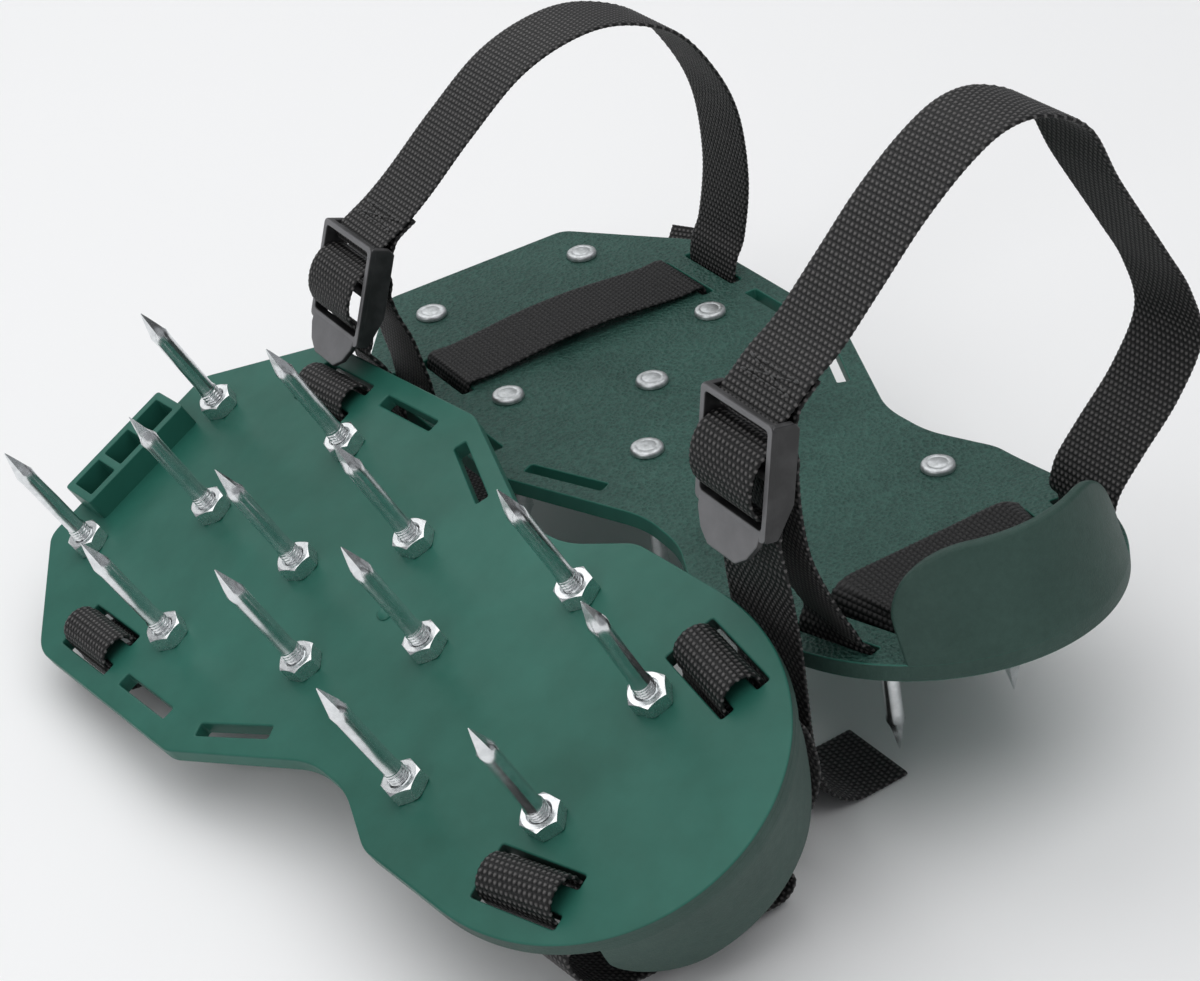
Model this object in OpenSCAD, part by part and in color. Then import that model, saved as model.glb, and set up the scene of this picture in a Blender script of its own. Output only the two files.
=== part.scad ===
// A pair of strap-on lawn aerator shoes: one stands on its spikes, and the
// other lies upside down beside it on its folded straps.
// Each shoe is drawn in its own frame: X towards the toe, Y to one side, Z up,
// with the underside of the sole at Z = 0 and the middle spike on the Z axis.

/* [Sole] */
// Length of the forefoot from the middle spike to the toe edge
toe_x = 106; // [100:1:112]
// Half the width of the forefoot
fore_half = 63.5; // [60:0.5:66]
// Half the width of the heel
heel_half = 52.3; // [51:0.1:54]
// Length of the heel's rounded end
heel_round = 57.3; // [55:0.1:60]
// Thickness of the sole plate
sole_t = 5; // [4:0.5:5.5]
// Height of the heel cup above the underside
cup_h = 33; // [30:1:38]
// Angle that the heel is turned up by, in degrees
heel_bend = 6; // [5:0.5:7]
// Thickness of the heel cup's wall
cup_t = 3.2; // [2.5:0.1:4]

/* [Spikes] */
// Length of a spike below the underside of the sole
spike_len = 43.5; // [40:0.5:50]
// Radius of the threaded end
thread_r = 3; // [2.8:0.1:3]
// Radius of the plain shaft
shaft_r = 2.5; // [2:0.1:2.8]
// Radius of the spike's round head
head_r = 5; // [4.5:0.1:5.5]
// Width across the flats of a nut
nut_flats = 10; // [9:0.5:10]
// Height of a nut
nut_h = 5; // [4:0.5:5.5]

/* [Straps] */
// Width of the webbing
web_w = 25; // [22:1:25]
// Thickness of the webbing
web_t = 1.4; // [1:0.1:1.6]
// Length of a strap slot
slot_len = 26.6; // [26.2:0.1:28]
// Width of a strap slot
slot_w = 4; // [3.5:0.1:4]

/* [Buckles] */
// Width of a buckle
buckle_w = 29.4; // [29.2:0.2:32]
// Length of a buckle's frame, without its lift tab
buckle_len = 28; // [27:0.5:29]
// Thickness of a buckle's side walls
buckle_wall = 1.9; // [1.8:0.1:2.1]

/* [Hidden] */
$fn = 48;

// Offset of the standing shoe's frame from the middle of the pair's footprint
row_offset = [42.25, -47.7];
// Place and turn of the shoe that lies upside down, from the standing shoe
upturned_at = [-10.6, 125.8, 44.75];
upturned_turn = [155.5, 4.2, 5];

plastic = [0.12, 0.33, 0.27];
steel = [0.75, 0.77, 0.78];
webbing = [0.07, 0.07, 0.075];
black_plastic = [0.16, 0.16, 0.17];

// Rows of spikes from toe to heel: distance along the sole, and half the
// distance between the pair (0 where the row is one spike on the middle line)
spike_rows = [[85.4, 28.7], [50, 0], [23, 37.2], [0, 0],
              [-31.6, 22.7], [-64.9, 0], [-95.8, 32.9], [-137.6, 19.8]];
hole_gap = 0.1;
nut_gap = 0.05;
head_h = 2.5;
point_h = 9.5;
thread_below = 9;

// Strap slots on one side: middle x, middle y and turn
slots = [[48, 44.5, 0], [48, 55.5, 0], [13, 55, 0], [-27.3, 48, 24.5],
         [-144.7, 29.5, 12.5], [-147, 40.5, 12.5]];

// Corners of one side of the outline, each with the radius that rounds it
outline_corners = [[toe_x, 0, 0], [toe_x, 34, 7], [67, fore_half, 16], [-11, fore_half, 12],
                   [-60, 42.4, 30], [-78, 43.2, 30], [-98, heel_half, 14], [-130, heel_half, 0]];
block_x = [toe_x - 16, toe_x];
block_half = 20.5;
block_h = 8;

function unit(v) = v / norm(v);
function reversed(list) = [for (i = [len(list) - 1:-1:0]) list[i]];

// Points that round the corner b between a and c
function rounded(a, b, c, r, steps = 6) =
    let (u = unit(a - b), v = unit(c - b), half = acos(u * v) / 2)
    let (centre = b + unit(u + v) * r / sin(half))
    let (from = b + u * r / tan(half) - centre, to = b + v * r / tan(half) - centre)
    let (start = atan2(from.y, from.x), turn = atan2(to.y, to.x) - start)
    let (sweep = turn > 180 ? turn - 360 : turn < -180 ? turn + 360 : turn)
    [for (i = [0:steps]) centre + r * [cos(start + sweep * i / steps), sin(start + sweep * i / steps)]];

function flat(corner) = [corner.x, corner.y];
side_points = [for (i = [1:len(outline_corners) - 2])
    each rounded(flat(outline_corners[i - 1]), flat(outline_corners[i]),
                 flat(outline_corners[i + 1]), outline_corners[i][2])];
heel_centre = [-130, 0];
function heel_points(inset, from, to, steps) =
    [for (i = [0:steps]) let (turn = from + (to - from) * i / steps)
        heel_centre + [-(heel_round - inset) * sin(turn), (heel_half - inset) * cos(turn)]];
function mirrored(points) = [for (i = [len(points) - 1:-1:0]) [points[i].x, -points[i].y]];

// The heel end is turned up about a line across the underside
bend_x = -102.5;
function bent(x, z) = [bend_x + (x - bend_x) * cos(heel_bend) + z * sin(heel_bend),
                       (bend_x - x) * sin(heel_bend) + z * cos(heel_bend)];
function bent_outline(points) = [for (p = points) [bent(p.x, sole_t / 2)[0], p.y]];
sole_outline = concat(side_points, bent_outline(heel_points(0, 0, 180, 44)), mirrored(side_points));

module bent_up() {
    translate([bend_x, 0, 0]) rotate([0, heel_bend, 0]) translate([-bend_x, 0, 0]) children();
}

module at_both_sides(y) {
    for (side = y == 0 ? [1] : [-1, 1]) translate([0, side * y, 0]) children();
}

// ---------- the sole ----------
module slot_cuts(on_heel) {
    for (slot = slots, side = [-1, 1])
        if ((slot.x < bend_x) == on_heel) translate([slot.x, side * slot.y, -1])
            rotate([0, 0, side * slot[2]])
                translate([-slot_len / 2, -slot_w / 2, 0])
                    cube([slot_len, slot_w, sole_t + 2]);
}

module spike_holes(on_heel) {
    for (row = spike_rows)
        if ((row.x < bend_x) == on_heel) translate([row.x, 0, -1])
            at_both_sides(row.y) cylinder(r = thread_r + hole_gap, h = sole_t + 2);
}

// Back view of the heel cup, standing on the sole
module cup_profile() {
    round_r = 19;
    half = 36.5;
    translate([-half, 0]) square([2 * half, cup_h - round_r]);
    translate([-half + round_r, 0]) square([2 * (half - round_r), cup_h]);
    for (side = [-1, 1])
        translate([side * (half - round_r), cup_h - round_r]) circle(r = round_r, $fn = 96);
}

// The wall leans in as it rises from the heel's rounded end
module heel_cup() {
    lean_in = 0.875;
    base_z = sole_t - 0.5;
    ring = [for (p = concat(heel_points(0, 25, 155, 40), reversed(heel_points(cup_t, 25, 155, 40))))
        p - heel_centre];
    intersection() {
        translate([heel_centre.x, heel_centre.y, base_z])
            linear_extrude(cup_h - base_z, scale = lean_in) polygon(ring);
        translate([-200, 0, 0]) rotate([90, 0, 90]) linear_extrude(60) cup_profile();
    }
}

// Open block of three cells under the toe
module toe_block() {
    wall = 2.6;
    cell_y = (2 * block_half - 4 * wall) / 3;
    difference() {
        translate([block_x[0], -block_half, -block_h])
            cube([block_x[1] - block_x[0], 2 * block_half, block_h + sole_t / 2]);
        for (i = [0:2])
            translate([block_x[0] + wall, -block_half + wall + i * (cell_y + wall), -block_h - 1])
                cube([block_x[1] - block_x[0] - 2 * wall, cell_y, block_h + 1]);
    }
}

// Side view of the sole plate, drawn right across
module side_profile() {
    rotate([90, 0, 0]) linear_extrude(140, center = true)
        polygon([[toe_x + 1, 0], [toe_x + 1, sole_t], [bend_x + sole_t * tan(heel_bend / 2), sole_t],
                 bent(-200, sole_t), bent(-200, 0), [bend_x, 0]]);
}

module sole() {
    difference() {
        union() {
            intersection() {
                translate([0, 0, -1]) linear_extrude(30) polygon(sole_outline);
                side_profile();
            }
            bent_up() heel_cup();
            toe_block();
        }
        slot_cuts(false);
        spike_holes(false);
        bent_up() {
            slot_cuts(true);
            spike_holes(true);
        }
    }
}

// ---------- spikes and nuts ----------
module spike() {
    translate([0, 0, sole_t]) {
        cylinder(r = head_r, h = head_h - 1);
        translate([0, 0, head_h - 1]) cylinder(r1 = head_r, r2 = head_r - 1, h = 1);
    }
    translate([0, 0, -thread_below]) cylinder(r = thread_r, h = thread_below + sole_t);
    translate([0, 0, -(spike_len - point_h)]) cylinder(r = shaft_r, h = spike_len - point_h - thread_below);
    translate([0, 0, -spike_len]) cylinder(r1 = 0.3, r2 = shaft_r, h = point_h);
}

module nut() {
    translate([0, 0, -nut_h]) difference() {
        cylinder(r = nut_flats / sqrt(3), h = nut_h, $fn = 6);
        translate([0, 0, -1]) cylinder(r = thread_r + nut_gap, h = nut_h + 2);
    }
}

// The rearmost row stands on the turned-up heel
module at_row(number) {
    row = spike_rows[number - 1];
    if (row.x < bend_x) bent_up() translate([row.x, 0, 0]) at_both_sides(row.y) children();
    else translate([row.x, 0, 0]) at_both_sides(row.y) children();
}

module spike_row(number) {
    color(steel) at_row(number) spike();
}

module spike_nuts() {
    color(steel)
        for (number = [1:8]) at_row(number) nut();
}

// ---------- webbing ----------
// A route is a list of [x, y, z, turn]: points on the middle of the webbing,
// and the turn of its width about Z, where 0 lays the width along X.
route_steps = 4;

function curve(a, b, c, d, t) =
    0.5 * (2 * b + (c - a) * t + (2 * a - 5 * b + 4 * c - d) * t * t + (3 * b - 3 * c + d - a) * t * t * t);
function smooth(route) = let (last = len(route) - 1)
    concat([for (i = [0:last - 1], s = [0:route_steps - 1])
        curve(route[max(i - 1, 0)], route[i], route[i + 1], route[min(i + 2, last)], s / route_steps)],
        [route[last]]);
function place(p) = [p.x, p.y, p.z];
function section(p, along) =
    let (level = [cos(p[3]), sin(p[3]), 0])
    let (across = unit(level - along * (level * along)))
    let (outward = cross(along, across))
    [for (s = [[-1, -1], [1, -1], [1, 1], [-1, 1]])
        place(p) + across * s[0] * web_w / 2 + outward * s[1] * web_t / 2];

module web(route) {
    path = smooth(route);
    last = len(path) - 1;
    points = [for (i = [0:last])
        each section(path[i], unit(place(path[min(i + 1, last)]) - place(path[max(i - 1, 0)])))];
    walls = [for (i = [0:last - 1], k = [0:3])
        let (a = 4 * i + k, b = 4 * i + (k + 1) % 4)
        each [[a, a + 4, b + 4], [a, b + 4, b]]];
    color(webbing)
        polyhedron(points, concat([[0, 1, 2], [0, 2, 3]], walls,
            [[4 * last, 4 * last + 2, 4 * last + 1], [4 * last, 4 * last + 3, 4 * last + 2]]));
}

// A route in one upright plane across the sole, from its [y, z] points
function across_at(x, route, turn = 0) = [for (p = route) [x, p[0], p[1], turn]];

// Under the bar between two slots, from the outer slot to the inner one
bar_dip = [[0, 6], [0, 0], [-1.6, -3.3], [-5.5, -4.7], [-9.4, -3.3], [-11, 0], [-11.3, 4.4], [-13, 7.2]];
front_x = 48;
front_slot_y = 55.5;
heel_x = -147;
heel_slot_y = 40.5;
heel_slot_turn = 12.5;
heel_lift = bent(heel_x, 0)[1];

function front_dip(side) = [for (p = bar_dip) [front_x, side * (front_slot_y + p[0]), p[1], 0]];
function heel_dip(side) = [for (p = bar_dip)
    [heel_x - p[0] * sin(heel_slot_turn), side * (heel_slot_y + p[0]), p[1], side * heel_slot_turn]];
function raised(route) = [for (p = route) [p[0], p[1], p[2] + heel_lift, p[3]]];

front_base_route = concat(front_dip(-1),
    across_at(front_x, [[-34, 7.0], [-12, 8.8], [0, 9.1], [12, 8.8], [34, 7.0]]),
    reversed(front_dip(1)));
heel_base_route = raised(concat(heel_dip(-1),
    across_at(heel_x + 3, [[-25, 9.0], [-12, 9.1], [0, 9.1], [12, 9.1], [25, 9.0]]),
    reversed(heel_dip(1))));

// Over the foot, from just above the far slot to the buckle
front_loop_yz = [[-60.5, 19], [-64, 38], [-62.5, 61], [-55, 79], [-43, 94], [-25, 102.5], [-8, 103.5],
                 [11, 98], [30, 85], [45.6, 72.6]];
heel_loop_yz = [[-41.5, 19.1], [-43.8, 23.5], [-51, 31], [-63, 43], [-71, 57.5], [-67, 73], [-58.5, 88],
                [-44, 112], [-35, 129], [-22, 137], [-10, 138], [2, 133], [16, 123], [29, 111], [41.5, 99.6]];

// Buckles: top bar at [y, z] and lean of the frame from upright
front_bar = [66.5, 59.6];
front_lean = 20;
heel_bar = [61, 85.2];
heel_lean = 10;

// From buckle coordinates (down the frame, out of its face) to [y, z]
function from_buckle(bar, lean, p) = bar + p[0] * [sin(lean), -cos(lean)] + p[1] * [cos(lean), sin(lean)];
function buckle_points(bar, lean, points) = [for (p = points) from_buckle(bar, lean, p)];

// Up behind the frame, out through the window, over the middle bar and back in
wrap_points = [[11.6, -7], [8.6, -6.8], [5.9, -5.4], [4.7, -2.6], [4.7, 0.6], [6.4, 3.8], [10.2, 6],
               [14.8, 6.6], [19, 5.7], [22, 3.2], [23.1, -0.3], [25, -2.9], [28, -3.4], [31, -3.4]];

// The sewn eye: over the eye bar, round it and folded back under the loop
eye_points = [[-10.3, -8.8], [-5.1, -4.2], [-1.3, -0.9], [0.4, -0.3], [1.9, -1.1], [2.5, -2.75], [1.7, -4.3],
              [-1.3, -5.5], [-5.1, -6.5], [-10.7, -11.4]];
folded_eye_points = [[-12, -4.3], [-5, -5], [-0.4, -5.3], [2.4, -4.4], [2.8, -2.2], [1.4, -0.1], [-0.8, -0.1],
                     [-2.6, -1.8], [-4.2, -2.9], [-11, -2.4]];

module buckle_bar(down, out, r) {
    translate([-buckle_w / 2 + 1, out, -down]) rotate([0, 90, 0]) cylinder(r = r, h = buckle_w - 2);
}

// The buckle's own frame: X across, Y out of its face, Z up, eye bar near Z = 0
module buckle_shape() {
    front = 3.2;
    back = -5;
    for (side = [-1, 1])
        translate([side * (buckle_w - buckle_wall) / 2 - buckle_wall / 2, 0, 0])
            rotate([90, 0, 90]) linear_extrude(buckle_wall)
                polygon([[front, 3], [back + 2, 3], [back, 1], [back, -buckle_len + 9],
                         [-1, -buckle_len], [front, -buckle_len]]);
    translate([-buckle_w / 2, 1, 1]) cube([buckle_w, front - 1, 2]);
    translate([-buckle_w / 2, 1, -buckle_len]) cube([buckle_w, front - 1, 3]);
    buckle_bar(0.2, -2.6, 1.5);
    buckle_bar(14, -2.4, 1.6);
    lift_tab();
}

module lift_tab() {
    tab = [[-13, 0], [13, 0], [11.6, -4], [8.8, -7.6], [5, -9.6], [0, -10.2], [-5, -9.6],
        [-8.8, -7.6], [-11.6, -4]];
    translate([0, 1, -buckle_len + 1]) rotate([102, 0, 0]) mirror([0, 0, 1])
        linear_extrude(2) polygon(tab);
}

module buckle_at(x, bar, lean) {
    color(black_plastic) translate([x, bar.x, bar.y]) rotate([lean, 0, 0]) buckle_shape();
}

function loop_route(x, loop, bar, lean, eye = eye_points) =
    across_at(x, concat(loop, buckle_points(bar, lean, eye)));

module front_strap_base() { web(front_base_route); }
module heel_strap_base() { web(heel_base_route); }
module front_strap_loop() { web(loop_route(front_x, front_loop_yz, front_bar, front_lean)); }
module heel_strap_loop() { web(loop_route(heel_x, heel_loop_yz, heel_bar, heel_lean)); }

front_leg_yz = [[57.3, 19], [59.4, 29], [62.6, 38], [64.1, 45]];
heel_leg_yz = [[43.2, 19], [48.5, 30], [54.4, 46], [56.3, 60], [56.3, 71.2]];
module front_strap_leg() { web(across_at(front_x, front_leg_yz)); }
module heel_strap_leg() { web(across_at(heel_x, heel_leg_yz)); }
module front_strap_wrap() {
    web(across_at(front_x, buckle_points(front_bar, front_lean, wrap_points)));
}
module heel_strap_wrap() {
    web(across_at(heel_x, buckle_points(heel_bar, heel_lean, wrap_points)));
}

// Short lengths that bend when a strap swings: above both slots, and below the buckle
module front_strap_bends() {
    web(across_at(front_x, [[-55.5, 6.5], [-57, 12], [-60.4, 18.7]]));
    web(across_at(front_x, [[55.5, 6.5], [56, 12], [57.3, 18.7]]));
    web(across_at(front_x, [[73.5, 28.3], [70.3, 24], [67.9, 19]]));
}
module heel_strap_bends() {
    web([[heel_x, -40.5, 11.2, -12.5], [heel_x, -40.6, 14.5, -7], [heel_x, -41.4, 18.7, 0]]);
    web([[heel_x, 40.5, 11.2, 12.5], [heel_x, 41.2, 14.5, 7], [heel_x, 43, 18.7, 0]]);
    web([[heel_x, 63.1, 53.2, 0], [heel_x, 62.9, 48.4, 2], [-146.5, 62.5, 43, 4]]);
}

floor_z = -spike_len + web_t / 2 + 0.05;
front_tail_route = [[48, 67.7, 18.4, 0], [48, 66.5, 12, 0], [48, 65.8, 3, 0], [48.3, 65.2, -8, 3],
    [49, 64, -20, 5], [50.5, 61, -32, 8], [53, 54, -39, 12], [56, 45, floor_z + 0.6, 14],
    [61, 28, floor_z, 14], [65, 8, floor_z, 10], [67, -10, floor_z, 10], [68.5, -24, floor_z, 14],
    [72.5, -38, floor_z, 20], [78.5, -50, floor_z + 2.5, 25], [87, -63, -34, 27],
    [95, -76, -23, 27], [101, -87, -12, 27]];
heel_tail_route = [[-146.5, 62.4, 42.6, 4], [-145.5, 61, 33, 6], [-144.5, 59.6, 22, 7], [-143, 58.2, 5, 8],
    [-141.5, 57, -10, 9], [-139.5, 54, -25, 8], [-138, 48.5, -36, 6], [-137, 41, floor_z + 1.2, 4],
    [-136.3, 33, floor_z, 2], [-136, 22.5, floor_z, 0]];
module front_strap_tail() { web(front_tail_route); }
module heel_strap_tail() { web(heel_tail_route); }

// ---------- straps of the upturned shoe ----------
// They are folded between its sole and the ground.
folded_lean = 90;
upturned_front_bar = [15, 18.5];
upturned_heel_bar = [0, 18.5 + heel_lift];
upturned_front_loop_yz = [[-30, 23.5], [-10, 36], [8, 46.5], [19, 52], [26, 50.5], [28.5, 45], [24, 38],
    [14, 33], [4, 28], [-4, 22.5], [-5, 17], [0, 13.9]];
upturned_heel_loop_yz = [[-43, 15], [-41, 27], [-30, 37.5], [-10, 46.5], [2, 55], [9, 58.3], [13.5, 56],
    [12, 49.5], [2, 42], [-12, 36], [-22, 29.5], [-26, 23], [-22, 16.5], [-15, 13.9]];

function upturned_front_route() = concat(
    reversed(loop_route(front_x, upturned_front_loop_yz, upturned_front_bar, folded_lean, folded_eye_points)),
    across_at(front_x, [[-44, 17.2], [-53, 12.6], [-55.8, 9.4]]),
    front_base_route,
    across_at(front_x, [[55.2, 9.2], [52, 12.2], [45, 12.6], [34, 11.6], [27.3, 11.5]]));
function upturned_heel_route() = concat(
    reversed(concat(raised(across_at(heel_x, upturned_heel_loop_yz)),
        loop_route(heel_x, [], upturned_heel_bar, folded_lean, folded_eye_points))),
    raised(across_at(heel_x, [[-41, 9.5]], -9)),
    heel_base_route,
    raised([[heel_x, 40, 10.2, 9], [heel_x, 36, 13.0, 3]]),
    raised(across_at(heel_x, [[28, 12.6], [19, 11.8], [12.3, 11.5]])));

module in_upturned_shoe() {
    translate(upturned_at) rotate(upturned_turn) children();
}

module upturned_front_strap() { web(upturned_front_route()); }
module upturned_heel_strap() { web(upturned_heel_route()); }
module upturned_front_strap_wrap() {
    web(across_at(front_x, buckle_points(upturned_front_bar, folded_lean, wrap_points)));
}
module upturned_heel_strap_wrap() {
    web(across_at(heel_x, buckle_points(upturned_heel_bar, folded_lean, wrap_points)));
}
module upturned_front_strap_tail() {
    web([[48, 46.3, 15.1, 0], [48, 51.2, 15.8, 0], [48, 54.6, 19.5, 0], [48.5, 54, 27, 0],
        [51, 49.8, 38, 0], [56.5, 46.3, 48, 0], [64.5, 42.5, 54, 0], [75, 31, 51.5, 0], [78, 12, 44.6, 0],
        [79, -8, 35.4, 0], [79, -25, 27.6, 0]]);
}
module upturned_heel_strap_tail() {
    web([[heel_x, 31.3, 19.7, 0], [heel_x, 36, 20.8, 0], [heel_x, 39, 25, 0], [-146.5, 39.2, 32, 0],
        [-144.5, 37, 43, 0], [-140, 32.5, 53, 0], [-132, 27, 60.5, 0], [-122, 20, 62, 0], [-112, 8, 57.5, 0],
        [-106, -8, 50, 0], [-104, -25, 42.8, 0]]);
}

// ---------- the two shoes in place ----------
module standing() {
    translate([row_offset.x, row_offset.y, spike_len]) children();
}
module upturned() {
    translate([row_offset.x, row_offset.y, 0]) in_upturned_shoe() children();
}

module standing_sole() { color(plastic) standing() sole(); }
module upturned_sole() { color(plastic) upturned() sole(); }

standing_sole();
for (row = [1:8])
    standing() spike_row(row);
standing() spike_nuts();  // standing_spike_nuts
standing() front_strap_base();
standing() front_strap_bends();
standing() front_strap_loop();
standing() front_strap_leg();
standing() front_strap_wrap();
standing() front_strap_tail();
standing() buckle_at(front_x, front_bar, front_lean);  // front_buckle
standing() heel_strap_base();
standing() heel_strap_bends();
standing() heel_strap_loop();
standing() heel_strap_leg();
standing() heel_strap_wrap();
standing() heel_strap_tail();
standing() buckle_at(heel_x, heel_bar, heel_lean);  // heel_buckle
upturned_sole();
for (row = [1:8])
    upturned() spike_row(row);
upturned() spike_nuts();  // upturned_spike_nuts
upturned() upturned_front_strap();
upturned() upturned_front_strap_wrap();
upturned() upturned_front_strap_tail();
upturned() buckle_at(front_x, upturned_front_bar, folded_lean);  // upturned_front_buckle
upturned() upturned_heel_strap();
upturned() upturned_heel_strap_wrap();
upturned() upturned_heel_strap_tail();
upturned() buckle_at(heel_x, upturned_heel_bar, folded_lean);  // upturned_heel_buckle
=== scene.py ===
"""A pair of strap-on lawn aerator shoes, one standing and one upside down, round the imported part."""

import math
import random
from bisect import bisect_right

import bmesh
import bpy
from mathutils import Matrix, Vector


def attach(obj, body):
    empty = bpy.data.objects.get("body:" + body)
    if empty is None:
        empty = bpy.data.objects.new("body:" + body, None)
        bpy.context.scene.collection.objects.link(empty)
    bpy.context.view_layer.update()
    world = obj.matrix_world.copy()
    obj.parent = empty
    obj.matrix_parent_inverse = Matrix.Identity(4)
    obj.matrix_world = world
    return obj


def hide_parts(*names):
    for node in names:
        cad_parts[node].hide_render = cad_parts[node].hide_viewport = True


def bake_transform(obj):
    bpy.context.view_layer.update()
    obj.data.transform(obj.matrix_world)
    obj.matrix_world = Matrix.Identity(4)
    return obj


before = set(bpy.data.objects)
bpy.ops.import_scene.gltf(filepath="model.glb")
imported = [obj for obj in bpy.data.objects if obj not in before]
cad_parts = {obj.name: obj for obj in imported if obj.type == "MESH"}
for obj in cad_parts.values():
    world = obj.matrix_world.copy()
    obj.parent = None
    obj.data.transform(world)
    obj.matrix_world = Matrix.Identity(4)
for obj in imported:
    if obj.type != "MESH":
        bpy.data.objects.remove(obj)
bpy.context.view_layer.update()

MM = 0.001
dice = random.Random(7)

# ---------- the two shoes' own frames ----------
# Lengths are millimetres in a shoe's own frame: X to the toe, Z = 0 on the sole's underside,
# with the middle spike on the Z axis. ROW_OFFSET moves both shoes, so that the pair stands centred.
SPIKE_LEN = 43.5
ROW_OFFSET = (42.25, -47.7)
UPTURNED_AT = (-10.6, 125.8, 44.75)
UPTURNED_TURN = (155.5, 4.2, 5.0)


def turned(degrees):
    """Turns about X, then Y, then Z."""
    x, y, z = (math.radians(d) for d in degrees)
    return Matrix.Rotation(z, 4, "Z") @ Matrix.Rotation(y, 4, "Y") @ Matrix.Rotation(x, 4, "X")


OFFSET = Matrix.Translation((ROW_OFFSET[0] * MM, ROW_OFFSET[1] * MM, 0))
STANDING = OFFSET @ Matrix.Translation((0, 0, SPIKE_LEN * MM))
UPTURNED = OFFSET @ Matrix.Translation(Vector(UPTURNED_AT) * MM) @ turned(UPTURNED_TURN)
SHOES = (("standing", STANDING), ("upturned", UPTURNED))

# ---------- the sole's measures ----------
TOE_X = 106
FORE_HALF = 63.5
HEEL_HALF = 52.3
HEEL_ROUND = 57.3
HEEL_CENTRE_X = -130
SOLE_T = 5
CUP_H = 33
CUP_T = 3.2
CUP_HALF = 36.5
CUP_CORNER = 19
CUP_LEAN_IN = 0.875
BEND_X = -102.5
HEEL_BEND = 6.0
BEND_ZONE = 16
HEEL_EDGE_X = -122
RIM_ROUND = 0.55
BLOCK_DEPTH = 16
BLOCK_HALF = 20.5
BLOCK_H = 8
BLOCK_WALL = 2.6
GATE_AT = (-41.5, 1, -0.1)
GATE_SIZE = (2.7, 2.0, 0.9)
FRONT_X = 48
HEEL_X = -147
FRONT_SLOT_Y = 55.5
HEEL_SLOT_Y = 40.5
HEEL_SLOT_TURN = 12.5
SLOT_LEN = 26.6
SLOT_W = 4
SLOT_CORNER = 0.7
# The slots of the +Y side, which are mirrored: x, y and turn.
SLOTS = [(FRONT_X, 44.5, 0), (FRONT_X, FRONT_SLOT_Y, 0), (13, 55, 0), (-27.3, 48, 24.5),
         (-144.7, 29.5, HEEL_SLOT_TURN), (HEEL_X, HEEL_SLOT_Y, HEEL_SLOT_TURN)]
# The rows of spikes from toe to heel: x, and how far its two spikes are off the middle (0: one spike).
SPIKE_ROWS = [(85.4, 28.7), (50, 0), (23, 37.2), (0, 0),
              (-31.6, 22.7), (-64.9, 0), (-95.8, 32.9), (-137.6, 19.8)]
# The corners of the +Y side up to the heel's round end: x, y and radius.
OUTLINE = [(TOE_X, 0, 0), (TOE_X, 34, 7), (67, FORE_HALF, 16), (-11, FORE_HALF, 12), (-60, 42.4, 30),
           (-78, 43.2, 30), (-98, HEEL_HALF, 14), (HEEL_CENTRE_X, HEEL_HALF, 0)]
# A face's finish is the place of its material in the sole's list.
SATIN_FACE, TREAD_FACE, MATTE_SHADE_FACE = range(3)


def bent(v):
    """Moves a point of the flat sole to the turned-up heel; the bend is an arc BEND_ZONE long."""
    s = BEND_X + BEND_ZONE / 2 - v.x
    if s <= 0:
        return v
    full = math.radians(HEEL_BEND)
    r = BEND_ZONE / full
    turn = min(s, BEND_ZONE) / r
    past = max(0.0, s - BEND_ZONE)
    x = BEND_X + BEND_ZONE / 2 - r * math.sin(turn) - past * math.cos(turn) + v.z * math.sin(turn)
    z = r * (1 - math.cos(turn)) + past * math.sin(turn) + v.z * math.cos(turn)
    return Vector((x, v.y, z))


def seat(x, y):
    """Where a spike or nut sits: on the flat, or square on the turned-up heel."""
    here = Matrix.Translation((x, y, 0))
    if x > BEND_X:
        return here
    hinge = Matrix.Translation((BEND_X, 0, 0))
    return hinge @ Matrix.Rotation(math.radians(HEEL_BEND), 4, "Y") @ hinge.inverted() @ here


# ---------- the spikes' and nuts' measures ----------
THREAD_R = 3
SHAFT_R = 2.5
HEAD_R = 5
HEAD_H = 2.5
# From the head's middle, past a shallow pressed ring, to its edge: radius, and drop below HEAD_H.
HEAD_PROFILE = [(0.4, 0.55), (2.6, 0.57), (2.8, 0.66), (3.0, 0.66), (3.2, 0.58), (4.3, 0.64), (4.75, 0.95),
                (5.0, 1.6)]
POINT_H = 9.5
THREAD_BELOW = 9
THREAD_PITCH = 1.0
THREAD_DEPTH = 0.32
NUT_FLATS = 10
NUT_H = 5

# ---------- the webbing's measures ----------
WEB_W = 25
WEB_T = 1.4
WEB_COLUMNS = 30
WEB_STEP = 0.8
BEAD_RISE = 0.14
BEAD_SINK = 0.16
ROW_SINK = 0.02
SELVEDGE_SINK = 0.22
SELVEDGE_OUT = 0.10
SELVEDGE_IN = 0.14
EDGE_ROUND = 0.12

# ---------- the buckles' measures ----------
BUCKLE_W = 29.4
BUCKLE_LEN = 28
BUCKLE_WALL = 1.9


def link(obj):
    bpy.context.scene.collection.objects.link(obj)
    return obj


def put(name, mesh, place, material, body=None, stands_for=()):
    """A finished mesh in millimetres, put in place, given to its body, and standing in for its CAD nodes,
    which are hidden.

    Its points before that, in the shoe's millimetres, are kept for the materials as "spot".
    """
    obj = link(bpy.data.objects.new(name, mesh))
    spots = mesh.attributes.new("spot", "FLOAT_VECTOR", "POINT")
    coords = [0.0] * (3 * len(mesh.vertices))
    mesh.vertices.foreach_get("co", coords)
    spots.data.foreach_set("vector", coords)
    mesh.transform(place @ Matrix.Scale(MM, 4))
    for m in material if isinstance(material, (list, tuple)) else [material]:
        mesh.materials.append(m)
    if body:
        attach(obj, body)
    if stands_for:
        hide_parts(*stands_for)
    return obj


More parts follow.
